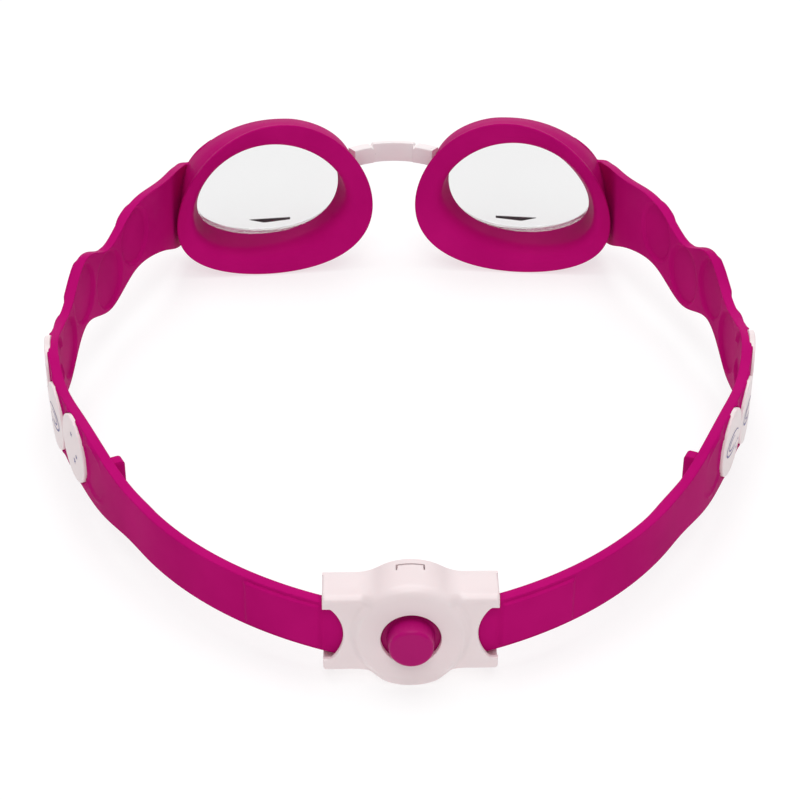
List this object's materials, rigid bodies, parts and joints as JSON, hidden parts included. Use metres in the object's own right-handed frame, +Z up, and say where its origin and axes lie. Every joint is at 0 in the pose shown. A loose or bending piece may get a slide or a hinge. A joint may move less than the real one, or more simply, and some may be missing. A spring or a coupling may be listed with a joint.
{
  "type": "swim goggles",
  "caption": "Children's swim goggles with soft eyecups, clear lenses, nose bridge, wavy spotted side arms and a push-button rear strap clip.",
  "frame": {"origin": "middle of the footprint on the table that the goggles rest on", "axes": "+X to the wearer's right, +Y from the rear clip to the lenses, +Z up from the table"},
  "size_m": [0.1406, 0.1752, 0.0376],
  "materials": {
    "soft_magenta": "satin thermoplastic elastomer",
    "clear_lens": "clear polycarbonate, polished",
    "pale_pink": "satin moulded plastic",
    "button_magenta": "satin moulded plastic",
    "carrier_plastic": "plain moulded acetal",
    "spring_steel": "stainless wire"
  },
  "bodies": {
    "bridge": {"nose_bridge": "pale_pink"},
    "eyecup_left": {"seal_left": "soft_magenta", "frame_left": "soft_magenta", "lens_left": "clear_lens"},
    "eyecup_right": {"seal_right": "soft_magenta", "frame_right": "soft_magenta", "lens_right": "clear_lens"},
    "strap_left": {"strap_left": "soft_magenta", "spot_disc_left_1": "pale_pink", "spot_disc_left_2": "pale_pink", "spot_disc_left_3": "pale_pink", "clip_front_cover": "pale_pink", "clip_back_cover": "pale_pink", "button_spring": "spring_steel"},
    "strap_right": {"strap_right": "soft_magenta", "spot_disc_right_1": "pale_pink", "spot_disc_right_2": "pale_pink", "spot_disc_right_3": "pale_pink"},
    "tail_left": {"strap_tail_left": "soft_magenta"},
    "tail_right": {"strap_tail_right": "soft_magenta"},
    "button": {"button_cap": "button_magenta", "lock_carrier": "carrier_plastic"}
  },
  "joints": [
    {"name": "bridge_flex_left", "type": "hinge", "parent": "bridge", "child": "eyecup_left", "pos_m": [-0.0098, 0.08148, 0.01832], "axis": [0, -0.0499, 0.9988], "range_deg": [-4, 4], "stiffness_Nm_per_rad": 0.05},
    {"name": "bridge_flex_right", "type": "hinge", "parent": "bridge", "child": "eyecup_right", "pos_m": [0.0098, 0.08148, 0.01832], "axis": [0, -0.0499, 0.9988], "range_deg": [-4, 4], "stiffness_Nm_per_rad": 0.05},
    {"name": "arm_flex_left", "type": "hinge", "parent": "eyecup_left", "child": "strap_left", "pos_m": [-0.04935, 0.08148, 0.01832], "axis": [0, -0.0499, 0.9988], "range_deg": [-4, 4], "stiffness_Nm_per_rad": 0.05},
    {"name": "arm_flex_right", "type": "hinge", "parent": "eyecup_right", "child": "strap_right", "pos_m": [0.04935, 0.08148, 0.01832], "axis": [0, -0.0499, 0.9988], "range_deg": [-4, 4], "stiffness_Nm_per_rad": 0.05},
    {"name": "button_press", "type": "slide", "parent": "strap_left", "child": "button", "axis": [0, 0.9988, 0.0499], "range_m": [0, 0.0012], "stiffness_N_per_m": 600, "springref_m": -0.002, "deforming": ["button_spring"]},
    {"name": "tail_slide_left", "type": "hinge", "parent": "strap_left", "child": "tail_left", "pos_m": [0.0124, -0.0165, 0.01343], "axis": [0, 0.0499, -0.9988], "range_deg": [0, 2.1]},
    {"name": "tail_slide_right", "type": "hinge", "parent": "strap_right", "child": "tail_right", "pos_m": [-0.0124, -0.0165, 0.01343], "axis": [0, -0.0499, 0.9988], "range_deg": [0, 2.1]}
  ],
  "couplings": [
    {"joint": "bridge_flex_right", "follows": "bridge_flex_left", "ratio": -1},
    {"joint": "arm_flex_left", "follows": "bridge_flex_left", "ratio": -1},
    {"joint": "arm_flex_right", "follows": "bridge_flex_left", "ratio": 1}
  ]
}
